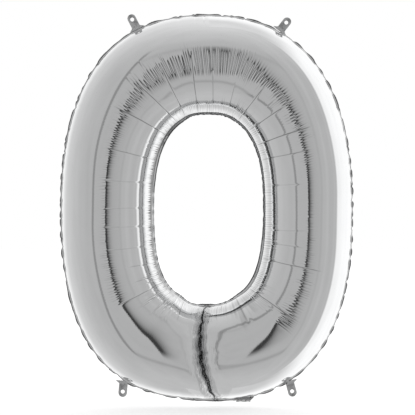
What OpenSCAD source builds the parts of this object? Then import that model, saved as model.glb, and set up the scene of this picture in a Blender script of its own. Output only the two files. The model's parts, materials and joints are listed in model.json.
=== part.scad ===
// Inflated foil number balloon, digit zero. Two metallised films are welded to each other round
// the outer edge, round the hole and along a slit across the bottom limb, which closes the tube
// into two butting ends. Four punched tabs hang it, and a neck with a film valve fills it.
// +Z is up and the front faces -Y. The origin is under the middle, level with the lowest point.

/* [Body] */
// Width over the outer hem
overall_w = 656; // [560:1:800]
// Height over the outer hem
overall_h = 864; // [720:1:1040]
// Thickness of the inflated body, front to back
depth = 184; // [150:1:224]
// Width of the left and right limbs, edge to edge
limb_side = 209; // [170:1:256]
// Width of the top and bottom limbs, edge to edge
limb_end = 228; // [190:1:276]
// How much wider the limbs are on the diagonals than between side and end
limb_corner = 10.5; // [0:0.5:16]
// Shape of the oval's upper half: 2 is an ellipse, and more is boxier
squareness_top = 2.4; // [2.1:0.02:2.9]
// Shape of the oval's lower half
squareness_bottom = 2.62; // [2.1:0.02:3]
// How far the hole stands to the right of the middle
hole_shift = 4.5; // [-10:0.5:10]

/* [Film and hems] */
// Thickness of one film
film_t = 0.25; // [0.2:0.01:0.4]
// Width of the weld round the outside
outer_hem_w = 6; // [4:0.5:10]
// Width of the weld round the hole
hole_hem_w = 6; // [4:0.5:10]
// Width of the weld along the slit
slit_hem_w = 6; // [4:0.5:10]

/* [Slit] */
// Sideways place of the slit at the hole
slit_x_hole = -2; // [-20:1:20]
// Sideways place of the slit at the outer edge
slit_x_edge = 22; // [-30:1:30]
// How far the slit bows sideways between its ends
slit_bow = -23; // [-30:1:30]
// How far the hole's edge dips where it meets the slit
slit_dip = 11; // [0:1:20]
// Distance over which the limbs follow the slit's line and its dip
slit_reach = 130; // [100:5:200]
// Radius of the swollen limbs where they turn down into the slit
end_round = 34; // [24:1:50]

/* [Hanging tabs] */
// Width of a tab
tab_w = 19; // [15:0.5:24]
// Length of a tab from the hem's edge to its tip
tab_len = 34; // [28:0.5:42]
// Diameter of the hole in a tab
tab_hole_d = 9; // [5:0.5:11]
// Distance from a tab's tip to the middle of its hole
tab_hole_inset = 12; // [10:0.5:15]
// How far the hem stands out under a tab or the neck
pad_out = 5; // [5:0.5:8]
// How much wider than the tab that pad is at its foot, on each side
pad_flare = 8; // [4:0.5:12]

/* [Neck and valve] */
// Sideways place of the neck and valve
neck_x = 75; // [50:1:110]
// Width of the filling neck
neck_w = 32; // [26:1:40]
// Length of the filling neck
neck_len = 45; // [36:1:55]
// How far above level the neck lies, folded back behind the body
neck_rise = 12; // [5:1:18]
// Width of the valve
valve_w = 24; // [18:1:30]
// Length of the valve inside the body
valve_len = 110; // [80:1:132]

/* [Folds] */
// Radius of the bead that a film fold leaves
fold_bead_r = 0.35; // [0.3:0.01:0.6]
// Gap between a fold and what it folds against
fold_gap = 0.2; // [0.1:0.05:0.4]
// Height of the unwelded passage between the films, from the neck into the body
passage_gap = 0.1; // [0.05:0.05:0.2]

/* [Hidden] */

// Each tab: where it stands round the oval, from +X, and which way it points, from +Z towards +X.
TAB_TOP_LEFT = [109, -27];
TAB_TOP_RIGHT = [70, 38];
TAB_BOTTOM_LEFT = [247, 185];
TAB_BOTTOM_RIGHT = [293, 165];

bottom = -90;          // where the slit is round the oval, from +X
end_n = 6;             // sections over each swollen end
ring_n = 84;           // spans round the rest of the oval
arc_n = 14;            // spans across each panel
round_fn = 48;
spine_w = (overall_w - limb_side) / 2;
spine_h = (overall_h - limb_end) / 2;
fold_out = pad_out + fold_gap + fold_bead_r;   // from the hem's edge to a fold's axis
film_start = fold_bead_r + fold_gap / 2;       // from that axis to a film that has no bead
neck_at = bottom + asin(neck_x / (overall_h / 2));

// The oval that runs along the middle of the limbs, in the plane of the hems.
function squareness(a) = sin(a) > 0 ? squareness_top : squareness_bottom;
function spine_r(a) = let (n = squareness(a))
    pow(pow(abs(cos(a)) / spine_w, n) + pow(abs(sin(a)) / spine_h, n), -1 / n);
function spine(a) = spine_r(a) * [cos(a), sin(a)];
function slope(v, half, n) = sign(v) * pow(abs(v) / half, n - 1) / half;
function outward(a) =
    let (n = squareness(a), p = spine(a), g = [slope(p.x, spine_w, n), slope(p.y, spine_h, n)])
    g / norm(g);
function limb_w(a) = let (n = outward(a))
    limb_side * n.x * n.x + limb_end * n.y * n.y + 4 * limb_corner * pow(n.x * n.y, 2);

// The slit's line: share runs from 0 at the hole's edge to 1 at the outer edge.
function slit_x(share) = slit_x_hole + (slit_x_edge - slit_x_hole) * share
    + 4 * slit_bow * share * (1 - share);
function fade(d) = let (u = min(1, d / slit_reach)) 1 - u * u * (3 - 2 * u);

// A point of the balloon's plane, across units outside the spine at angle a.
function at(a, across) =
    let (
        p = spine(a) + outward(a) * across,
        share = across / limb_w(a) + 0.5,
        shift = hole_shift * (1 - share),
        near_slit = p.y < 0 ? fade(abs(p.x)) : 0
    ) [p.x + shift + near_slit * (slit_x(share) - shift), p.y - near_slit * slit_dip * (1 - share)];
function edge(a) = at(a, limb_w(a) / 2);
function hole_edge(a) = at(a, -limb_w(a) / 2);
function outer_weld(a) = at(a, limb_w(a) / 2 - outer_hem_w);
function hole_weld(a) = at(a, -limb_w(a) / 2 + hole_hem_w);

// Sections round the oval, from the slit's right side anticlockwise to its left side.
function end_turn(i) = 90 * i / end_n;
function end_angle(i) =
    asin((slit_hem_w / 2 + end_round * (1 - cos(end_turn(i)))) / spine_h);
ring_start = end_angle(end_n);
ring_step = (360 - 2 * ring_start) / ring_n;
ANGLES = [
    for (i = [0 : end_n]) bottom + end_angle(i),
    for (i = [1 : ring_n - 1]) bottom + ring_start + ring_step * i,
    for (i = [end_n : -1 : 0]) bottom + 360 - end_angle(i)
];
SWELL = [
    for (i = [0 : end_n]) sin(end_turn(i)),
    for (i = [1 : ring_n - 1]) 1,
    for (i = [end_n : -1 : 0]) sin(end_turn(i))
];
last = len(ANGLES) - 1;

// A point of a panel's skin at section i, j spans from the hole. The inner skin has inset film_t.
function across(i, j, inset) =
    let (
        half = limb_w(ANGLES[i]) / 2,
        low = hole_hem_w + inset - half,
        high = half - outer_hem_w - inset
    ) (low + high) / 2 - cos(180 * j / arc_n) * (high - low) / 2;
function swell(i, j, inset) =
    let (least = (inset == 0 && j > 0 && j < arc_n) ? film_t : 0)
    max(least, depth / 2 * SWELL[i] * sin(180 * j / arc_n) - inset);
function skin(i, j, inset) =
    let (p = at(ANGLES[i], across(i, j, inset))) [p.x, -swell(i, j, inset), p.y];

// Lowest points of the bottom tabs, of the neck's pad and of the hem, which set the origin's height.
function tab_low(tab) = edge(tab[0]).y + cos(tab[1]) * (tab_len - tab_w / 2) - tab_w / 2;
neck_fold = edge(neck_at) - [0, fold_out];
lift = -min(
    tab_low(TAB_BOTTOM_LEFT), tab_low(TAB_BOTTOM_RIGHT),
    neck_fold.y - fold_bead_r, min([for (a = ANGLES) edge(a).y]));

// The valve's fold stands just inside the panels' roots, over its whole width.
valve_low = [for (s = [-1, 1]) outer_weld(neck_at + s * asin(valve_w / 2 / spine_h)).y];
valve_fold = [neck_fold.x, max(valve_low) + film_t + 4 * fold_gap + fold_bead_r];

module raised() translate([0, 0, lift]) children();
// A flat piece in the balloon's plane, drawn in X and Z, from back to front in Y.
module in_plane(from, to)
    translate([0, to, 0]) rotate([90, 0, 0]) linear_extrude(height = to - from) children();
// A frame at a fold: its X runs along the fold and its Z points away from the hem.
module at_fold(tab)
    translate([edge(tab[0]).x, 0, edge(tab[0]).y])
        rotate([0, tab[1], 0]) translate([0, 0, fold_out]) children();
module bead(width) rotate([0, 90, 0]) cylinder(r = fold_bead_r, h = width, center = true, $fn = round_fn);

// Front panel as a closed shell: the outer skin, the inner skin, and the rims between them.
module panel() {
    row = arc_n + 1;
    inner = (last + 1) * row;
    function p(i, j) = i * row + j;
    function q(i, j) = inner + p(i, j);
    function quad(a, b, c, d) = [[a, b, c], [a, c, d]];
    outer_faces = [for (i = [0 : last - 1], j = [0 : arc_n - 1])
        each quad(p(i, j), p(i + 1, j), p(i + 1, j + 1), p(i, j + 1))];
    inner_faces = [for (i = [0 : last - 1], j = [0 : arc_n - 1])
        each quad(q(i, j), q(i, j + 1), q(i + 1, j + 1), q(i + 1, j))];
    side_rims = [for (i = [0 : last - 1]) each concat(
        quad(p(i + 1, 0), p(i, 0), q(i, 0), q(i + 1, 0)),
        quad(p(i, arc_n), p(i + 1, arc_n), q(i + 1, arc_n), q(i, arc_n)))];
    end_rims = [for (j = [0 : arc_n - 1]) each concat(
        quad(p(0, j), p(0, j + 1), q(0, j + 1), q(0, j)),
        quad(p(last, j + 1), p(last, j), q(last, j), q(last, j + 1)))];
    polyhedron(
        points = [
            for (i = [0 : last], j = [0 : arc_n]) skin(i, j, 0),
            for (i = [0 : last], j = [0 : arc_n]) skin(i, j, film_t)
        ],
        faces = concat(outer_faces, inner_faces, side_rims, end_rims));
}

module front_panel() color("silver") raised() panel();
module back_panel() color("silver") raised() mirror([0, 1, 0]) panel();

// The pad that carries a tab or the neck. It runs on past the hem, which trims it.
module pad(place, lean, width) {
    foot = width / 2 + pad_flare;
    translate(edge(place)) rotate(-lean) polygon([
        [foot, -2 * outer_hem_w], [width / 2, pad_out],
        [-width / 2, pad_out], [-foot, -2 * outer_hem_w]
    ]);
}

module outer_hem() color("gainsboro") raised() difference() {
    in_plane(-film_t, film_t) difference() {
        union() {
            polygon([for (a = ANGLES) edge(a)]);
            for (tab = [TAB_TOP_LEFT, TAB_TOP_RIGHT, TAB_BOTTOM_LEFT, TAB_BOTTOM_RIGHT])
                pad(tab[0], tab[1], tab_w);
            pad(neck_at, 180, neck_w);
        }
        polygon([for (a = ANGLES) outer_weld(a)]);
    }
    passage_w = valve_w - 2 * outer_hem_w / 3;
    translate([neck_fold.x - passage_w / 2, -passage_gap / 2, neck_fold.y])
        cube([passage_w, passage_gap, valve_fold.y - neck_fold.y]);
}

module hole_hem() color("gainsboro") raised() in_plane(-film_t, film_t) difference() {
    polygon([for (a = ANGLES) hole_weld(a)]);
    polygon([for (a = ANGLES) hole_edge(a)]);
}

module slit_weld() color("gainsboro") raised() in_plane(-film_t, film_t) polygon([
    for (j = [0 : arc_n]) at(ANGLES[0], across(0, j, 0)),
    for (j = [arc_n : -1 : 0]) at(ANGLES[last], across(last, j, 0))
]);

// A tab: both films in one tongue, with a punched hole and a bead along its fold.
module hang_tab(tab) color("lightgray") raised() at_fold(tab) {
    reach = tab_len - fold_out;
    in_plane(-film_t, film_t) difference() {
        union() {
            translate([-tab_w / 2, 0]) square([tab_w, reach - tab_w / 2]);
            translate([0, reach - tab_w / 2]) circle(d = tab_w, $fn = round_fn);
        }
        translate([0, reach - tab_hole_inset]) circle(d = tab_hole_d, $fn = round_fn);
    }
    bead(tab_w);
}

module at_neck() raised() translate([neck_fold.x, 0, neck_fold.y])
    rotate([90 + neck_rise, 0, 0]) mirror([0, 0, 1]) children();
module neck_front_film() color("lightgray") at_neck() in_plane(-film_t, 0)
    translate([-neck_w / 2, film_start]) square([neck_w, neck_len - film_start]);
module neck_back_film() color("lightgray") at_neck() {
    in_plane(0, film_t) translate([-neck_w / 2, 0]) square([neck_w, neck_len]);
    bead(neck_w);
}

module at_valve() raised() translate([valve_fold.x, 0, valve_fold.y]) children();
module valve_front_film() color("white") at_valve() in_plane(-film_t, 0)
    translate([-valve_w / 2, film_start]) square([valve_w, valve_len - film_start]);
module valve_back_film() color("white") at_valve() {
    in_plane(0, film_t) translate([-valve_w / 2, 0]) square([valve_w, valve_len]);
    bead(valve_w);
}

front_panel();
back_panel();
outer_hem();
hole_hem();
slit_weld();
hang_tab(TAB_TOP_LEFT);  // hang_tab_top_left
hang_tab(TAB_TOP_RIGHT);  // hang_tab_top_right
hang_tab(TAB_BOTTOM_LEFT);  // hang_tab_bottom_left
hang_tab(TAB_BOTTOM_RIGHT);  // hang_tab_bottom_right
neck_front_film();
neck_back_film();
valve_front_film();
valve_back_film();
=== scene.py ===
import json
import math

import bpy
import numpy as np
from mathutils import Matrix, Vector
from mathutils.geometry import delaunay_2d_cdt


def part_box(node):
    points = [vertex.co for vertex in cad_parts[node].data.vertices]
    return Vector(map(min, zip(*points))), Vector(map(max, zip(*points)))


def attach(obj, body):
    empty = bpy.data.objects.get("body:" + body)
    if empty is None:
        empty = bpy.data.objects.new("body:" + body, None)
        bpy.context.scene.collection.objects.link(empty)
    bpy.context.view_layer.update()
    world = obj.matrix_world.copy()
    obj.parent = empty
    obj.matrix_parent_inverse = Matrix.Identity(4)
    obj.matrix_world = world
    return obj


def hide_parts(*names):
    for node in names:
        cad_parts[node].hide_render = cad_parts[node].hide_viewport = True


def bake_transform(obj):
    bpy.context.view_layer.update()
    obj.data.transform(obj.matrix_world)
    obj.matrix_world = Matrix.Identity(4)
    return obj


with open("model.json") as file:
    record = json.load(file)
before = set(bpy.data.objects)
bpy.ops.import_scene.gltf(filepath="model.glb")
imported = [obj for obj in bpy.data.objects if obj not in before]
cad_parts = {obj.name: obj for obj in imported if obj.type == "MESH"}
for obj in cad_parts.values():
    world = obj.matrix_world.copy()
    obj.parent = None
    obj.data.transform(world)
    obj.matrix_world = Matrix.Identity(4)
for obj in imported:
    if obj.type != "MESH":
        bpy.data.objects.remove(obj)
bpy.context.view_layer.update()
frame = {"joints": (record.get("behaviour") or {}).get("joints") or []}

# ---------------------------------------------------------------- sizes, in metres

# The outline comes from the frame. Hems are HEM wide all the way round.
HEM = 0.006
SQUARE_TOP = 2.40
SQUARE_BOTTOM = 2.62
LIMB_CORNER = 0.0105
panel_low, panel_high = (np.array(corner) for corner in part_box("front_panel"))
hole_low, hole_high = (np.array(corner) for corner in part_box("hole_hem"))
WIDTH = panel_high[0] - panel_low[0] + 2 * HEM
HEIGHT = panel_high[2] - panel_low[2] + 2 * HEM
SWELL = -panel_low[1]
HOLE_WIDTH = hole_high[0] - hole_low[0] - 2 * HEM
HOLE_SHIFT = (hole_high[0] + hole_low[0]) / 2
MIDDLE = (panel_high[2] + panel_low[2]) / 2
LIMB_SIDE = (WIDTH - HOLE_WIDTH) / 2
LIMB_END = panel_high[2] - hole_high[2] + 2 * HEM
HOLE_DIP = 2 * MIDDLE - hole_high[2] - hole_low[2]
SPINE_W = (WIDTH - LIMB_SIDE) / 2
SPINE_H = (HEIGHT - LIMB_END) / 2

# The slit across the bottom limb: its line, and how the limb's two ends close on each other.
SLIT_HOLE = -0.002
SLIT_EDGE = 0.022
SLIT_BOW = -0.023
SLIT_REACH = 0.130
END_GAP = 0.0007
END_PRESSED = 0.50     # share of the depth over which the ends press on each other
END_LEFT = 0.135       # how far back each end is still rounding off
END_RIGHT = 0.175
BAND_LEFT = 0.021      # how far the band of painted shade reaches from the slit
BAND_RIGHT = 0.017

COLUMNS = 2560         # round the limb
END_COLUMNS = 90       # over each rounded end
HEM_COLUMNS = 2400
FILM = 0.00012         # half the thickness of a welded pair of films

FRONT_SEED, BACK_SEED = 11, 23              # of the panels' random creases
OUTER_HEM_SEED, HOLE_HEM_SEED = 70, 71
SLIT_CLEAR = 0.02      # beside the slit, where neither hem puckers

TABS = {               # lean from +Z towards +X, in degrees
    "hang_tab_top_left": -27,
    "hang_tab_top_right": 38,
    "hang_tab_bottom_left": 185,
    "hang_tab_bottom_right": 165,
}
TAB_WIDTH = 0.019
TAB_LENGTH = 0.034     # from the hem's edge to the tip
TAB_HOLE = 0.009
TAB_HOLE_INSET = 0.012
TAB_FLARE = 0.008      # how much wider the root is on each side
TAB_FOLD = 0.00555     # from the hem's edge to the fold
TAB_ROOT = 0.0080      # from the fold back to where the tab leaves the seam
TAB_STEP = 0.00062     # between a tab's points

NECK_BEND = 0.0016     # radius of the neck's fold
NECK_ROOT = 0.010      # how far the neck reaches up over the hem from its fold
NECK_PARTING = 0.0017  # how far each of the neck's films bows out at its tip
NECK_RIPPLE = 0.0007

CAMERA_DISTANCE = 4.0
CAMERA_SEES = 0.9246   # width of view where the balloon stands
CAMERA_X = 0.002
FLOOR_SIZE = 30
FLOOR_Z = -0.012

# The creases. Pairs are the least and the most of a random draw. A reach is an angle round the
# limb's section, in radians.
UNEVEN = 0.45                        # how unevenly a row of gathers is spaced
BROAD_HEIGHT = 0.0006
CREST_PITCH = 0.0054
CREST_HEIGHT = 0.00040
CREST_FINE_HEIGHT = 0.00010
RIM_PITCH = 0.0056
RIM_HEIGHT = 0.00085
SEAM_PITCH = 0.0042
CREASE_DEPTH = (0.0007, 0.0011)
CREASE_WIDTH = 0.0017
CREASE_LINE = 0.0011                 # width of a crease's line of painted shade
CREASE_START = 0.16                  # reach from the hole's seam
PUCKER_DEPTH = (0.0004, 0.0018)
PUCKER_WIDTH = (0.0018, 0.0045)
PUCKER_REACH = (0.06, 0.22)
PUCKER_SPACING = (0.008, 0.045)
NEARBY = 0.03                        # a single crease changes no point further off

# The hems: how they wave, notch and lean out of their plane.
EDGE_WAVE = 0.00075
SEAM_WAVE = 0.00025
NOTCH_WIDTH = (0.0014, 0.0035)
NOTCH_TILT = 0.0045
NOTCH_DEPTH = (0.0003, 0.0024)
NOTCH_SPACING = (0.010, 0.050)
OUTER_LEAN = 0.0034
OUTER_LEAN_LIMITS = (-0.0046, 0.0049)
HOLE_LEAN = 0.0060
HOLE_LEAN_LIMIT = 0.0047
HOLE_LEAN_NOTCHED = 0.0052           # the same limit with waves and notches added

# The tabs' film.
CRIMP_PITCH = 0.0021
CRIMP_HEIGHT = 0.00011
TAB_CURL = 0.0011
TAB_ROLL = 0.0009
TAB_GATHER = 0.0007


# ---------------------------------------------------------------- the oval

def smooth(u):
    u = np.clip(u, 0, 1)
    return u * u * (3 - 2 * u)


def oval(angle):
    """Spine point, outward normal and limb width at angle, in radians from +X."""
    c, s = np.cos(angle), np.sin(angle)
    n = np.where(s > 0, SQUARE_TOP, SQUARE_BOTTOM)
    r = ((np.abs(c) / SPINE_W) ** n + (np.abs(s) / SPINE_H) ** n) ** (-1 / n)
    x, z = r * c, r * s
    gx = np.sign(x) * (np.abs(x) / SPINE_W) ** (n - 1) / SPINE_W
    gz = np.sign(z) * (np.abs(z) / SPINE_H) ** (n - 1) / SPINE_H
    g = np.hypot(gx, gz)
    gx, gz = gx / g, gz / g
    return x, z, gx, gz, LIMB_SIDE * gx**2 + LIMB_END * gz**2 + 4 * LIMB_CORNER * (gx * gz) ** 2


def slit_line(share):
    """Sideways place of the slit: share runs from 0 at the hole to 1 at the outer edge."""
    jag = 0.0013 * np.sin(41 * share + 0.6) + 0.0011 * np.sin(83 * share)
    return SLIT_HOLE + (SLIT_EDGE - SLIT_HOLE) * share + 4 * SLIT_BOW * share * (1 - share) + jag


def in_plane(angle, across):
    """X and Z of a point of the hems' plane, across metres outside the spine."""
    x, z, gx, gz, width = oval(angle)
    share = across / width + 0.5
    shift = HOLE_SHIFT * (1 - share)
    near = np.where(z < 0, 1 - smooth(np.abs(x) / SLIT_REACH), 0)
    px = x + gx * across + shift + near * (slit_line(share) - shift)
    return px, MIDDLE + z + gz * across - near * HOLE_DIP * (1 - share)


# Length along the spine from the slit, anticlockwise, against the angle there.
TABLE_ANGLE = np.linspace(-np.pi / 2, 1.5 * np.pi, 20001)
table_x, table_z = oval(TABLE_ANGLE)[:2]
TABLE_LENGTH = np.concatenate([[0], np.cumsum(np.hypot(np.diff(table_x), np.diff(table_z)))])
ROUND = TABLE_LENGTH[-1]


def angle_at(length):
    return np.interp(length, TABLE_LENGTH, TABLE_ANGLE)


def length_at(degrees):
    """Length along the spine at an angle from -90 at the slit's right side to 270 at its left."""
    return float(np.interp(math.radians(degrees), TABLE_ANGLE, TABLE_LENGTH))


# ---------------------------------------------------------------- the film's relief

# Where single creases run from the crest in to the hole: degrees, crest end, and darkness of the
# painted shade along it.
CREASES = (
    (-53, 1.75, 1.0), (-32, 1.95, 0.7), (-22, 1.50, 0.3), (-13, 1.55, 0.2), (13, 1.45, 0.2),
    (30, 1.70, 0.6), (40, 1.85, 1.0), (52, 1.55, 1.0), (64, 1.50, 1.0), (77, 1.25, 0.6),
    (88, 1.45, 0.5), (96, 1.75, 0.9), (108, 1.70, 1.0), (119, 1.72, 1.0), (131, 1.80, 1.0),
    (149, 1.70, 0.6), (165, 1.75, 0.2), (181, 1.70, 0.15), (191, 1.75, 0.15), (203, 1.60, 0.2),
    (213, 1.20, 0.4), (221, 1.15, 0.5), (228, 1.65, 0.7), (239, 1.20, 0.5),
)


def ridges(length, pitch, spread, rng):
    """Which ridge each length falls in, its height there from 0 to 1, and how many there are."""
    steps = pitch * (1 + spread * rng.uniform(-1, 1, int(1.4 * ROUND / pitch)))
    edges = np.cumsum(steps) - pitch
    which = np.searchsorted(edges, length) - 1
    part = (length - edges[which]) / (edges[which + 1] - edges[which])
    return which, 0.5 - 0.5 * np.cos(2 * np.pi * part), len(steps)


def bunches(count, rng, least, most):
    """A number from -1 to 1 for each ridge, the same over a bunch of neighbours."""
    values = np.zeros(count)
    at = 0
    while at < count:
        run = rng.integers(least, most)
        values[at:at + run] = rng.uniform(-1, 1)
        at += run
    return values


def between(theta, start, end, soft):
    """1 between start and end, falling off to 0 at them."""
    return smooth((theta - start) / soft) * smooth((end - theta) / soft)


def broad_waves(length, theta, rng):
    """Smooth unevenness that closes round the limb."""
    total = np.zeros((length.size, theta.size))
    for _ in range(14):
        turns = rng.integers(1, 12)
        across = rng.uniform(0, 3)
        phase = 2 * np.pi * rng.uniform(0, 1, 2)
        total += (np.cos(2 * np.pi * turns * length[:, None] / ROUND + phase[0])
                  * np.cos(across * theta + phase[1]))
    return total / 3


def crest_gathers(length, theta, rng):
    """Bunched gathers over the crest, longest over the ends of the digit: height, and painted
    shade in the valleys between them.
    """
    off = theta[None, :] - np.pi / 2
    sway = 0.009 * np.sin(2 * np.pi * 5 * length / ROUND + 1.0)[:, None]
    which, bump, count = ridges(length[:, None] + sway * off, CREST_PITCH, UNEVEN, rng)
    angle = angle_at(length)[:, None]
    degrees = np.degrees(angle)
    reach = 0.065 + 0.25 * np.abs(np.sin(angle)) ** 1.8
    active = smooth((degrees + 62) / 8) * smooth((229 - degrees) / 6)
    off = off - 0.30 * reach * bunches(count, rng, 3, 9)[which]
    tall = 0.72 + 0.38 * bunches(count, rng, 3, 10) + rng.uniform(-0.42, 0.42, count)
    inner = reach * rng.uniform(0.45, 1.30, count)[which]
    outer = reach * rng.uniform(0.35, 1.25, count)[which]
    growth = 0.45 + 0.55 * np.clip(np.abs(off) / reach, 0, 1)
    ends = smooth((off + inner) / (0.4 * reach)) * smooth((outer - off) / (0.4 * reach))
    gather = CREST_HEIGHT * np.clip(tall, 0, 2)[which] * bump * active * growth * ends
    fine = CREST_FINE_HEIGHT * bump * active * between(theta[None, :], 1.20, 1.86, 0.2)
    # Painted shade in the valleys between the gathers.
    valley = 0.45 * np.clip(tall, 0, 1)[which] * (1 - bump) ** 5 * active * ends
    return gather + fine, valley


def rim_gathers(length, theta, rng):
    """Fine gathers in against the seam round the hole: height, and painted shade in the valleys
    between them.
    """
    which, bump, count = ridges(length, RIM_PITCH, UNEVEN, rng)
    degrees = np.degrees(angle_at(length))
    left = np.exp(-(((degrees - 178) / 42) ** 2))
    stray = 0.84 + 0.14 * bunches(count, rng, 3, 9) + rng.uniform(-0.22, 0.22, count)
    low = np.exp(-(((degrees + 60) / 20) ** 2)) + np.exp(-(((degrees - 236) / 18) ** 2))
    end = (0.80 - 0.28 * left + 0.42 * low) * stray[which]
    tall = rng.uniform(0.15, 1.0, count)[which]
    place = between(theta[None, :], 0.02, end[:, None], 0.24)
    # Painted shade in the valleys between the gathers.
    valley = 0.62 * (tall * (1 - bump) ** 3)[:, None] * place
    return RIM_HEIGHT * (tall * bump)[:, None] * place, valley


def seam_shade(length, theta, rng):
    """Painted shade: the dark, jagged line where the film doubles back at the hole's seam, mostly
    on the left.
    """
    which, bump, count = ridges(length, SEAM_PITCH, 0.5, rng)
    degrees = np.degrees(angle_at(length))
    strength = 0.12 + 0.88 * np.exp(-np.abs((degrees - 180) / 62) ** 4)
    last = 0.31 + 0.05 * rng.uniform(-1, 1, count)[which] + 0.12 * bump
    return strength[:, None] * smooth((last[:, None] - theta[None, :]) / 0.10)


def creases(length, theta, height, rng):
    """Adds the single creases from the crest in to the hole to height; returns the painted shade
    along their lines.
    """
    dark = np.zeros_like(height)
    for degrees, last, darkness in CREASES:
        place = length_at(degrees)
        near = np.abs(length - place) < NEARBY
        lean = rng.uniform(-0.004, 0.004)
        stray = lean * (theta - last) + 0.0005 * np.sin(5 * theta + degrees)
        off = length[near, None] - place - stray[None, :]
        along = between(theta[None, :], CREASE_START, last, 0.22)
        height[near] -= rng.uniform(*CREASE_DEPTH) * np.exp(-np.abs(off) / CREASE_WIDTH) * along
        # Painted shade along the crease's groove.
        line = darkness * np.exp(-((off / CREASE_LINE) ** 2)) * along
        dark[near] = np.maximum(dark[near], line)
    return dark


def outer_puckers(length, theta, rng):
    """Short puckers where the film meets the outer hem."""
    height = np.zeros((length.size, theta.size))
    place = SLIT_CLEAR
    while place < ROUND - SLIT_CLEAR:
        deep, wide = rng.uniform(*PUCKER_DEPTH), rng.uniform(*PUCKER_WIDTH)
        reach = rng.uniform(*PUCKER_REACH)
        near = np.abs(length - place) < NEARBY
        off = length[near, None] - place
        fade = np.exp(-(np.pi - theta[None, :]) / reach)
        height[near] -= deep * np.exp(-((off / wide) ** 2)) * fade
        place += rng.uniform(*PUCKER_SPACING)
    return height


def dent(length, theta, degrees, across, along_size, across_size, deep):
    """A flattened place in the film, seen as a broad dark reflection near the crest."""
    off = (length[:, None] - length_at(degrees)) / along_size
    side = (theta[None, :] - across) / across_size
    return -deep * np.exp(-(off**2) - side**2)


def relief(length, theta, seed):
    """Height of the creases over the drawn-tight film, and the painted shade along its fold lines,
    valleys and the hole's seam.
    """
    rng = np.random.default_rng(seed)
    far = np.minimum(length, ROUND - length)
    calm_ends = smooth((far - 0.02) / 0.10)[:, None]
    height = BROAD_HEIGHT * broad_waves(length, theta, rng) * np.sin(theta[None, :]) ** 0.5
    crest, crest_dark = crest_gathers(length, theta, rng)
    rim, rim_dark = rim_gathers(length, theta, rng)
    height += crest * calm_ends + rim * (0.3 + 0.7 * calm_ends)
    # Painted shade from creases, gather valleys and the hole's seam.
    dark = np.maximum(0.78 * creases(length, theta, height, rng), crest_dark) * calm_ends
    dark = np.maximum(dark, np.maximum(rim_dark, seam_shade(length, theta, rng)))
    height += outer_puckers(length, theta, rng)
    height += dent(length, theta, -56, 1.60, 0.026, 0.18, 0.0017)
    height += dent(length, theta, 234, 1.62, 0.034, 0.10, 0.0005)
    return height * smooth(np.minimum(theta, np.pi - theta) / 0.05)[None, :], dark


def hem_wave(length, inner):
    """How a hem strays: its edge from its plane, its seam from its plane, and both inward."""
    rng = np.random.default_rng(HOLE_HEM_SEED if inner else OUTER_HEM_SEED)
    tilt, seam, inward = np.zeros_like(length), np.zeros_like(length), np.zeros_like(length)
    for _ in range(14):
        waves = rng.integers(9, 110)
        phase = 2 * np.pi * rng.uniform(0, 1, 2)
        tilt += np.sin(2 * np.pi * waves * length / ROUND + phase[0]) * EDGE_WAVE
        seam += np.sin(2 * np.pi * (waves // 3) * length / ROUND + phase[1]) * SEAM_WAVE
    place = SLIT_CLEAR
    while place < ROUND - SLIT_CLEAR:
        wide = rng.uniform(*NOTCH_WIDTH)
        near = np.exp(-np.abs((length - place) / wide) ** 1.5)
        tilt += rng.uniform(-NOTCH_TILT, NOTCH_TILT) * near
        inward += rng.uniform(*NOTCH_DEPTH) * near
        place += rng.uniform(*NOTCH_SPACING)
    calm = smooth((np.minimum(length, ROUND - length) - 0.004) / 0.02)
    if inner:
        angle = angle_at(length)
        # Towards the back at the lower left, and towards the front at the upper right.
        lean = -HOLE_LEAN * (np.cos(angle) + np.sin(angle))
        lean = np.clip(lean, -HOLE_LEAN_LIMIT, HOLE_LEAN_LIMIT) + 0.15 * tilt
        lean = np.clip(lean, -HOLE_LEAN_NOTCHED, HOLE_LEAN_NOTCHED)
        return lean * calm, 0.4 * seam * calm, 0.12 * inward * calm
    lean = np.clip(OUTER_LEAN + 0.7 * tilt, *OUTER_LEAN_LIMITS)
    return lean * calm, seam * calm, inward * calm


# ---------------------------------------------------------------- meshes

def mesh_object(name, points, faces, **painted):
    """A smooth mesh, with a value painted on its points for each name in painted."""
    mesh = bpy.data.meshes.new(name)
    mesh.from_pydata(np.asarray(points).reshape(-1, 3).tolist(), [], [tuple(f) for f in faces])
    for label, values in painted.items():
        attribute = mesh.attributes.new(label, "FLOAT", "POINT")
        attribute.data.foreach_set("value", np.asarray(values, np.float32).ravel())
    mesh.validate()
    mesh.update()
    mesh.shade_smooth()
    made = bpy.data.objects.new(name, mesh)
    bpy.context.collection.objects.link(made)
    return made


def grid_faces(across, along, flip=False):
    i = np.arange(across - 1)[:, None]
    j = np.arange(along - 1)[None, :]
    a, b = i * along + j, (i + 1) * along + j
    quads = np.stack([a, b, b + 1, a + 1], -1).reshape(-1, 4)
    return quads[:, ::-1] if flip else quads


def thick_sheet(name, middle, faces, normal, dark=0.0):
    """A closed film: faces over middle, raised FILM each way along normal, with its cut edges."""
    middle = np.asarray(middle).reshape(-1, 3)
    normal = np.broadcast_to(normal, middle.shape)
    count = len(middle)
    points = np.concatenate([middle + FILM * normal, middle - FILM * normal])
    upper = [tuple(int(v) for v in f) for f in faces]
    lower = [tuple(v + count for v in reversed(f)) for f in upper]
    seen = {}
    for f in upper:
        for a, b in zip(f, f[1:] + f[:1]):
            seen[(a, b)] = True
    walls = [(b, a, a + count, b + count) for a, b in seen if (b, a) not in seen]
    # dark is painted shade, kept on the points as the 'fold' attribute.
    dark = np.broadcast_to(np.ravel(dark), count)
    return mesh_object(name, points, upper + lower + walls, fold=np.concatenate([dark, dark]))


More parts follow.
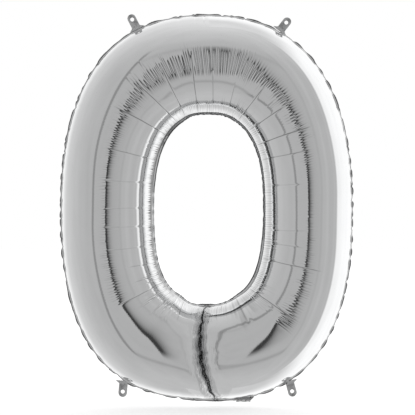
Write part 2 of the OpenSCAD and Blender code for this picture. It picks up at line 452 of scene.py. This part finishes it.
def rounded_end(reach):
    """Distances from the slit and the share of full depth there, from the weld up over the end."""
    wall = np.linspace(0, 1, 16)
    turn = np.linspace(0, np.pi / 2, END_COLUMNS - 15)[1:]
    away = np.concatenate([
        END_GAP + (HEM / 2 - END_GAP) * np.exp(-wall / 0.08),
        END_GAP + reach * (1 - np.cos(turn)) * (0.35 + 0.65 * np.sin(turn / 2) ** 2 * 2)])
    rise = np.concatenate([END_PRESSED * wall, END_PRESSED + (1 - END_PRESSED) * np.sin(turn)])
    return away, rise


def section_angles():
    """Rows across the limb, closest at the hole's seam and over the crest, where it creases."""
    return np.concatenate([
        np.linspace(0, 0.24, 6)[:-1], np.linspace(0.24, 1.10, 10)[:-1],
        np.linspace(1.10, 2.02, 14)[:-1], np.linspace(2.02, 2.86, 6)[:-1],
        np.linspace(2.86, np.pi, 6)])


def film_panel(name, side, seed):
    """One film, drawn by the gas: side is -1 for the front and 1 for the back."""
    right, right_rise = rounded_end(END_RIGHT)
    left, left_rise = rounded_end(END_LEFT)
    middle = np.linspace(right[-1], ROUND - left[-1], COLUMNS - 2 * END_COLUMNS + 1)[1:-1]
    length = np.concatenate([right, middle, (ROUND - left)[::-1]])
    rise = np.concatenate([right_rise, np.ones(middle.size), left_rise[::-1]])
    theta = section_angles()

    angle = angle_at(length)[:, None]
    half = oval(angle)[4] / 2 - HEM
    x, z = in_plane(angle, -half * np.cos(theta))
    y = side * SWELL * rise[:, None] * np.sin(theta) * np.ones_like(x)
    points = np.stack([x, y, z], -1)

    along = np.gradient(points, axis=0)
    over = np.gradient(points, axis=1)
    normal = np.cross(along, over)
    normal /= np.maximum(np.linalg.norm(normal, axis=-1, keepdims=True), 1e-12)
    normal *= np.sign((normal[..., 1] * side).sum())
    height, dark = relief(length, theta, seed)
    points += normal * (height * smooth(rise[:, None] * 1.5))[..., None]

    gx, gz = oval(angle_at(length))[2:4]
    for edge, inner in ((np.exp(-(np.pi - theta) / 0.16), False), (np.exp(-theta / 0.16), True)):
        _, seam, inward = hem_wave(length, inner)
        sign = 1 if inner else -1
        points[..., 1] += seam[:, None] * edge
        points[..., 0] += sign * (gx * inward)[:, None] * edge
        points[..., 2] += sign * (gz * inward)[:, None] * edge
    far = np.minimum(length, ROUND - length)
    rumple = np.exp(-(far / 0.016) ** 1.6)[:, None] * np.sin(theta[None, :]) ** 0.3
    # Painted shade: a dark line of uneven strength along the slit, and a grey band beside it.
    slit_shade_strength = np.random.default_rng(seed + 1).uniform(0.25, 1.0, theta.size)
    dark = np.maximum(dark, np.exp(-far / 0.0018)[:, None] * slit_shade_strength[None, :])
    band = np.where(length < ROUND / 2, BAND_RIGHT, BAND_LEFT)
    dark = np.maximum(dark, 0.24 * smooth((band - far) / 0.004)[:, None])
    return mesh_object(name, points, grid_faces(length.size, theta.size, flip=side > 0),
                       fold=dark, rumple=rumple)


def hem_strip(name, inner):
    """A welded hem: a closed ribbon that strays from its plane, with painted shade along its cut
    edge.
    """
    seam_at = np.linspace(0, ROUND, HEM_COLUMNS)
    angle = angle_at(seam_at)
    width = oval(angle)[4]
    sign = -1 if inner else 1
    share = np.array([-0.10, 0.12, 0.40, 0.68, 0.88, 1.0])
    tilt, seam, inward = hem_wave(seam_at, inner)
    gx, gz = oval(angle)[2:4]
    rows = []
    seen = np.sqrt(HEM**2 - tilt**2)
    for s in share:
        x, z = in_plane(angle, sign * (width / 2 - HEM + seen * s))
        x, z = x - sign * gx * inward, z - sign * gz * inward
        rows.append(np.stack([x, seam + tilt * max(s, 0), z], -1))
    middle = np.stack(rows, 1)
    # Painted shade over the outer part of the hem, towards its cut edge.
    dark = np.tile(np.where(share > 0.65, 0.92, 0.0), (HEM_COLUMNS, 1))
    return thick_sheet(name, middle, grid_faces(HEM_COLUMNS, share.size), (0, -1, 0), dark)


def slit_strip():
    """The weld along the slit, deep between the limb's two ends."""
    share = np.linspace(HEM / LIMB_END, 1 - HEM / LIMB_END, 90)
    low = MIDDLE - SPINE_H - LIMB_END / 2
    rows = []
    for side in np.linspace(-HEM / 2, HEM / 2, 7):
        x = slit_line(share) + side
        z = low + (1 - share) * (LIMB_END - HOLE_DIP)
        rows.append(np.stack([x, 0.0004 * np.sin(150 * share + 300 * side), z], -1))
    return thick_sheet("slit_weld_film", np.stack(rows, 1), grid_faces(90, 7), (0, -1, 0))


def crimp(u, v):
    """The fine criss-cross that a heated jaw leaves in welded film."""
    one_way = np.sin(2 * np.pi * (u + v) / CRIMP_PITCH)
    return CRIMP_HEIGHT * one_way * np.sin(2 * np.pi * (u - v) / CRIMP_PITCH)


def tab_outline(reach):
    """The right edge of a tab from its root to its tip, as (u, v): the fold is at v = 0."""
    half = TAB_WIDTH / 2
    root = [(half + TAB_FLARE * (1 - smooth(t)) ** 1.3, -TAB_ROOT * (1 - t))
            for t in np.linspace(0, 1, 18)]
    sides = [(half, v) for v in np.linspace(0, reach - half, 24)[1:]]
    tip = [(half * math.cos(a), reach - half + half * math.sin(a))
           for a in np.linspace(0, np.pi / 2, 22)[1:]]
    return root + sides + tip


def tab_sheet(reach, hole_v):
    """Points (u, v) and faces that fill a tab's outline round its punched hole."""
    right = tab_outline(reach)
    edge = right + [(-u, v) for u, v in reversed(right[:-1])]
    turn = np.linspace(0, 2 * np.pi, 40, endpoint=False)
    punched = [(TAB_HOLE / 2 * math.cos(a), hole_v + TAB_HOLE / 2 * math.sin(a)) for a in turn]
    inside = []
    for row, v in enumerate(np.arange(-TAB_ROOT + TAB_STEP, reach, TAB_STEP * 0.87)):
        limit = np.interp(v, [p[1] for p in right], [p[0] for p in right]) - 0.6 * TAB_STEP
        for u in np.arange(-0.02, 0.02, TAB_STEP) + (row % 2) * TAB_STEP / 2:
            if abs(u) < limit and math.hypot(u, v - hole_v) > TAB_HOLE / 2 + 0.5 * TAB_STEP:
                inside.append((u, v))
    loops = []
    for first, loop in ((0, edge), (len(edge), punched)):
        loops += [(first + i, first + (i + 1) % len(loop)) for i in range(len(loop))]
    flat = [Vector(p) for p in edge + punched + inside]
    points, _, faces, *_ = delaunay_2d_cdt(flat, loops, [], 1, 1e-7)
    points = np.array([tuple(p) for p in points])
    kept = [face for face in faces
            if math.hypot(*(points[list(face)].mean(0) - (0, hole_v))) > TAB_HOLE / 2 * 0.98]
    return points[:, 0], points[:, 1], kept


def hanging_tab(node, lean):
    """A tongue of both films with a punched hole, its root fanning out into the hem."""
    joint = next(j for j in frame["joints"] if j["name"] == node + "_fold")
    fold = np.array(joint["pos_m"])
    angle = math.radians(lean)
    along = np.array([math.sin(angle), 0, math.cos(angle)])
    side = np.array([math.cos(angle), 0, -math.sin(angle)])
    reach = TAB_LENGTH - TAB_FOLD
    hole_v = reach - TAB_HOLE_INSET
    u, v, faces = tab_sheet(reach, hole_v)

    rng = np.random.default_rng(abs(int(lean)))
    curl = TAB_CURL * np.sin(v / 0.011 + rng.uniform(0, 6)) * smooth((v + TAB_ROOT) / 0.02)
    roll = (TAB_ROLL * (u / (TAB_WIDTH / 2)) ** 2 * smooth((v + 0.004) / 0.015)
            * rng.choice((-1, 1)))
    gather = (TAB_GATHER * np.sin(u / 0.0011 + rng.uniform(0, 6))
              * np.exp(-(((v + 0.005) / 0.0035) ** 2)))
    forward = crimp(u, v) + curl + roll + gather - 0.0003
    middle = (fold[None, :] + u[:, None] * side + v[:, None] * along
              + forward[:, None] * np.array([0, -1, 0]))
    rim = np.abs(np.hypot(u, v - hole_v) - TAB_HOLE / 2)
    # Painted shade in the crimp's hollows and in a ring round the punched hole.
    dark = np.maximum(0.35 * (crimp(u, v) < -0.00003), 0.8 * np.exp(-rim / 0.0005))
    made = thick_sheet(node + "_film", middle, faces, (0, -1, 0), dark)
    finish_piece(made, None, [node], TAB_FOIL)
    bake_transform(made)


def neck_film(name, nodes, outer):
    """One film of the filling neck: down from the hem, round its fold and back behind the body."""
    joint = next(j for j in frame["joints"] if j["name"] == "neck_fold")
    fold = np.array(joint["pos_m"])
    low, high = (np.array(c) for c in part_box("neck_back_film"))
    width, tip = high[0] - low[0], high[1]
    rise = math.atan2(high[2] - fold[2], tip)
    length = tip / math.cos(rise)
    top = fold[2] + NECK_BEND + 0.0002     # where the film starts to turn
    u = np.linspace(-1, 1, 41)
    v = np.linspace(-NECK_ROOT, length, 110)
    rows = []
    for s in v:
        # Straight down to s = 0, then an arc through a, then straight back.
        a = np.clip(s / NECK_BEND, 0, math.pi / 2 - rise)
        straight = max(s - NECK_BEND * (math.pi / 2 - rise), 0)
        y = NECK_BEND * (1 - math.cos(a)) + straight * math.cos(rise)
        z = top - min(s, 0) - NECK_BEND * math.sin(a) + straight * math.sin(rise)
        part = 0.00014 + NECK_PARTING * (1 - u**2) ** 2 * smooth(s / length) ** 1.5
        ripple = np.sin(6 * u + 160 * s + (0 if outer else 1.2)) * smooth((s + 0.006) / 0.01)
        lift = (part if outer else -part) + NECK_RIPPLE * ripple
        x = fold[0] + u * width / 2 * (1 + 0.5 * smooth(-s / NECK_ROOT))
        rows.append(np.stack([x, y - math.cos(a) * lift, z - math.sin(a) * lift], -1))
    middle = np.stack(rows, 0)
    normal = np.cross(np.gradient(middle, axis=0), np.gradient(middle, axis=1))
    normal /= np.linalg.norm(normal, axis=-1, keepdims=True)
    made = thick_sheet(name, middle, grid_faces(v.size, u.size), normal.reshape(-1, 3))
    finish_piece(made, None, nodes, HEM_FOIL)
    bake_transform(made)


def valve_film(name, node, bulge):
    """One of the two limp films that close on each other inside the body."""
    low, high = (np.array(c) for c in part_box(node))
    u, v = np.linspace(-1, 1, 25), np.linspace(0, 1, 90)
    uu, vv = np.meshgrid(u, v)
    x = (low[0] + high[0]) / 2 + uu * (high[0] - low[0]) / 2
    z = low[2] + vv * (high[2] - low[2])
    y = bulge * (0.0003 + 0.0009 * (1 - uu**2) * vv) + 0.0012 * np.sin(5 * vv) * vv
    made = thick_sheet(name, np.stack([x, y, z], -1), grid_faces(90, 25), (0, -1, 0))
    finish_piece(made, "valve", [node], VALVE_PLASTIC)


# ---------------------------------------------------------------- materials

def foil_material(name, tint, rough, crinkle, painted_shade_tint=0.10):
    """Metallised film: nearly a mirror, faintly uneven, and darkened along its fold lines by
    painted shade.
    """
    material = bpy.data.materials.new(name)
    material.use_nodes = True
    nodes, links = material.node_tree.nodes, material.node_tree.links
    shader = nodes["Principled BSDF"]
    shader.inputs["Metallic"].default_value = 1
    coords = nodes.new("ShaderNodeTexCoord")
    fine = nodes.new("ShaderNodeTexNoise")
    fine.inputs["Scale"].default_value = 34
    fine.inputs["Detail"].default_value = 3
    links.new(coords.outputs["Object"], fine.inputs["Vector"])
    rough_range = nodes.new("ShaderNodeMapRange")
    rough_range.inputs["To Min"].default_value = rough * 0.75
    rough_range.inputs["To Max"].default_value = rough * 1.3
    links.new(fine.outputs["Fac"], rough_range.inputs["Value"])
    links.new(rough_range.outputs["Result"], shader.inputs["Roughness"])
    colour = nodes.new("ShaderNodeMixRGB")
    colour.inputs["Color1"].default_value = (*(0.96 * t for t in tint), 1)
    colour.inputs["Color2"].default_value = (*tint, 1)
    links.new(fine.outputs["Fac"], colour.inputs["Fac"])
    # Painted shade: where the 'fold' attribute is set, the base colour darkens along creases,
    # seams, the slit and cut edges.
    fold = nodes.new("ShaderNodeAttribute")
    fold.attribute_name = "fold"
    painted_shade_mix = nodes.new("ShaderNodeMixRGB")
    painted_shade_mix.inputs["Color2"].default_value = (*(painted_shade_tint * t for t in tint), 1)
    links.new(fold.outputs["Fac"], painted_shade_mix.inputs["Fac"])
    links.new(colour.outputs["Color"], painted_shade_mix.inputs["Color1"])
    links.new(painted_shade_mix.outputs["Color"], shader.inputs["Base Color"])
    grain = nodes.new("ShaderNodeTexNoise")
    grain.inputs["Scale"].default_value = 420
    grain.inputs["Detail"].default_value = 2
    links.new(coords.outputs["Object"], grain.inputs["Vector"])
    bump = nodes.new("ShaderNodeBump")
    bump.inputs["Strength"].default_value = crinkle
    bump.inputs["Distance"].default_value = 0.0002
    links.new(grain.outputs["Fac"], bump.inputs["Height"])
    # Where the limb's two ends press on each other the film is rumpled, lengthways to the slit.
    stretch = nodes.new("ShaderNodeMapping")
    stretch.inputs["Scale"].default_value = (260, 120, 70)
    links.new(coords.outputs["Object"], stretch.inputs["Vector"])
    rumples = nodes.new("ShaderNodeTexNoise")
    rumples.inputs["Scale"].default_value = 1
    rumples.inputs["Detail"].default_value = 3
    links.new(stretch.outputs["Vector"], rumples.inputs["Vector"])
    rumpled = nodes.new("ShaderNodeAttribute")
    rumpled.attribute_name = "rumple"
    deep = nodes.new("ShaderNodeBump")
    deep.inputs["Distance"].default_value = 0.004
    links.new(rumpled.outputs["Fac"], deep.inputs["Strength"])
    links.new(rumples.outputs["Fac"], deep.inputs["Height"])
    links.new(bump.outputs["Normal"], deep.inputs["Normal"])
    links.new(deep.outputs["Normal"], shader.inputs["Normal"])
    return material


def valve_plastic():
    """Thin clear polyethylene, milky where it is thicker."""
    material = bpy.data.materials.new("valve_plastic")
    material.use_nodes = True
    nodes, links = material.node_tree.nodes, material.node_tree.links
    shader = nodes["Principled BSDF"]
    shader.inputs["Alpha"].default_value = 0.5
    coords = nodes.new("ShaderNodeTexCoord")
    cloud = nodes.new("ShaderNodeTexNoise")
    cloud.inputs["Scale"].default_value = 60
    links.new(coords.outputs["Object"], cloud.inputs["Vector"])
    colour = nodes.new("ShaderNodeMixRGB")
    colour.inputs["Color1"].default_value = (0.88, 0.88, 0.85, 1)
    colour.inputs["Color2"].default_value = (0.96, 0.96, 0.94, 1)
    links.new(cloud.outputs["Fac"], colour.inputs["Fac"])
    links.new(colour.outputs["Color"], shader.inputs["Base Color"])
    gloss = nodes.new("ShaderNodeMapRange")
    gloss.inputs["To Min"].default_value = 0.2
    gloss.inputs["To Max"].default_value = 0.35
    links.new(cloud.outputs["Fac"], gloss.inputs["Value"])
    links.new(gloss.outputs["Result"], shader.inputs["Roughness"])
    return material


FOIL = foil_material("foil", (0.90, 0.905, 0.91), 0.05, 0.10)
HEM_FOIL = foil_material("hem_foil", (0.86, 0.865, 0.87), 0.16, 0.35)
TAB_FOIL = foil_material("tab_foil", (0.74, 0.745, 0.75), 0.24, 0.5)
VALVE_PLASTIC = valve_plastic()


def finish_piece(piece, body, nodes, material):
    piece.data.materials.append(material)
    if body:
        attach(piece, body)
    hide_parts(*nodes)


# ---------------------------------------------------------------- stage

def camera():
    data = bpy.data.cameras.new("camera")
    data.sensor_width = 36
    data.lens = data.sensor_width * CAMERA_DISTANCE / CAMERA_SEES
    made = bpy.data.objects.new("camera", data)
    made.location = (CAMERA_X, -CAMERA_DISTANCE, MIDDLE)
    made.rotation_euler = (math.radians(90), 0, 0)
    bpy.context.collection.objects.link(made)
    bpy.context.scene.camera = made


def studio():
    """A studio seen in the foil: white behind, a grey room before it, a dark camera stand."""
    world = bpy.data.worlds.new("studio")
    bpy.context.scene.world = world
    world.use_nodes = True
    nodes, links = world.node_tree.nodes, world.node_tree.links
    background = nodes["Background"]
    coords = nodes.new("ShaderNodeTexCoord")
    split = nodes.new("ShaderNodeSeparateXYZ")
    links.new(coords.outputs["Generated"], split.inputs["Vector"])

    def fill(node, values):
        for socket, value in zip(node.inputs, values):
            if value is None:
                continue
            if isinstance(value, (int, float)):
                socket.default_value = value
            else:
                links.new(value, socket)
        return node.outputs[0]

    def maths(kind, *values):
        node = nodes.new("ShaderNodeMath")
        node.operation = kind
        return fill(node, values)

    def step(value, low, high):
        node = nodes.new("ShaderNodeMapRange")
        node.interpolation_type = "SMOOTHSTEP"
        node.inputs["From Min"].default_value = low
        node.inputs["From Max"].default_value = high
        links.new(value, node.inputs["Value"])
        return node.outputs["Result"]

    def mix(fac, a, b):
        node = nodes.new("ShaderNodeMix")
        node.data_type = "FLOAT"
        return fill(node, (fac, None, a, b))

    def times(*values):
        total = values[0]
        for value in values[1:]:
            total = maths("MULTIPLY", total, value)
        return total

    def within(value, low, high, soft):
        return times(step(value, low - soft, low + soft), step(value, high + soft, high - soft))

    def darken(room, share, where):
        return times(room, maths("SUBTRACT", 1.0, times(where, share)))

    # Degrees from straight back at the camera: to the right, and up.
    x, y, z = split.outputs
    ahead = maths("MULTIPLY", y, -1.0)
    azimuth = times(maths("ARCTAN2", x, ahead), 180 / math.pi)
    elevation = times(maths("ARCSINE", z), 180 / math.pi)

    # The room round the camera: a lighter ceiling above, paler floor below.
    room = mix(within(azimuth, -31, 33, 2), 0.495, 0.475)
    leftward = maths("MAXIMUM", maths("MULTIPLY_ADD", azimuth, -1 / 81, -50 / 81), 0.0)
    room = maths("ADD", room, times(maths("POWER", leftward, 1.3), 0.23))
    room = mix(step(elevation, 30, 105), room, 0.76)
    room = mix(step(elevation, -34, -78), room, 0.56)
    room = maths("ADD", room, times(within(azimuth, 49, 53, 6), 0.045))
    room = maths("ADD", room, times(within(azimuth, 68, 72, 3), 0.03))
    # White sweep behind, and a white wall to the right.
    room = mix(step(y, 0.50, 1.02), room, 1.08)
    right_wall = times(step(azimuth, 75, 82), step(elevation, 74, 38), step(elevation, -74, -38))
    room = mix(right_wall, room, 1.0)
    room = maths("ADD", room, times(step(azimuth, 84, 110), 0.10))
    # A frame about the camera, seen as four soft lines.
    level = within(elevation, -36, 45, 4)
    room = darken(room, 0.40, times(within(azimuth, -33.6, -28.8, 1.3), level))
    room = darken(room, 0.10, times(within(azimuth, 31, 35, 3), level))
    room = darken(room, 0.26, times(within(elevation, -38, -34, 3.5), within(azimuth, -32, 34, 3)))
    room = darken(room, 0.10, times(within(elevation, 32, 36, 3), within(azimuth, -32, 34, 3)))
    # The camera's dark stand, with a shade that fades off to its right.
    fading = maths("EXPONENT", times(maths("SUBTRACT", azimuth, 1.0), -1 / 6.3))
    shade = times(maths("MINIMUM", fading, 0.90), step(azimuth, -2.6, -1.2))
    room = darken(room, 1.0, times(shade, within(elevation, -20, 32, 7)))
    cloud = nodes.new("ShaderNodeTexNoise")
    cloud.inputs["Scale"].default_value = 5
    cloud.inputs["Detail"].default_value = 3
    links.new(coords.outputs["Generated"], cloud.inputs["Vector"])
    room = times(room, maths("ADD", 0.93, times(cloud.outputs["Fac"], 0.14)))

    path = nodes.new("ShaderNodeLightPath")
    links.new(mix(path.outputs["Is Camera Ray"], room, 1.0), background.inputs["Strength"])
    background.inputs["Color"].default_value = (1, 1, 1, 1)


def floor():
    bpy.ops.mesh.primitive_plane_add(size=FLOOR_SIZE, location=(0, 0, FLOOR_Z))
    made = bpy.context.object
    made.name = "floor"
    material = bpy.data.materials.new("floor")
    material.use_nodes = True
    nodes, links = material.node_tree.nodes, material.node_tree.links
    shader = nodes["Principled BSDF"]
    shader.inputs["Base Color"].default_value = (0.9, 0.9, 0.9, 1)
    shader.inputs["Roughness"].default_value = 0.9
    path = nodes.new("ShaderNodeLightPath")
    lift = nodes.new("ShaderNodeMath")
    lift.operation = "MULTIPLY"
    lift.inputs[1].default_value = 0.45
    links.new(path.outputs["Is Camera Ray"], lift.inputs[0])
    shader.inputs["Emission Color"].default_value = (1, 1, 1, 1)
    links.new(lift.outputs[0], shader.inputs["Emission Strength"])
    made.data.materials.append(material)
    made.visible_glossy = False


bpy.context.scene.view_settings.view_transform = "Standard"
camera()
studio()
floor()

finish_piece(film_panel("front_film", -1, FRONT_SEED), "balloon", ["front_panel"], FOIL)
finish_piece(film_panel("back_film", 1, BACK_SEED), "balloon", ["back_panel"], FOIL)
finish_piece(hem_strip("outer_hem_film", False), "balloon", ["outer_hem"], HEM_FOIL)
finish_piece(hem_strip("hole_hem_film", True), "balloon", ["hole_hem"], HEM_FOIL)
finish_piece(slit_strip(), "balloon", ["slit_weld"], HEM_FOIL)
for tab, lean in TABS.items():
    hanging_tab(tab, lean)
neck_film("neck_outer_film", ["neck_front_film"], True)
neck_film("neck_inner_film", ["neck_back_film"], False)
valve_film("valve_front_sheet", "valve_front_film", -1)
valve_film("valve_back_sheet", "valve_back_film", 1)
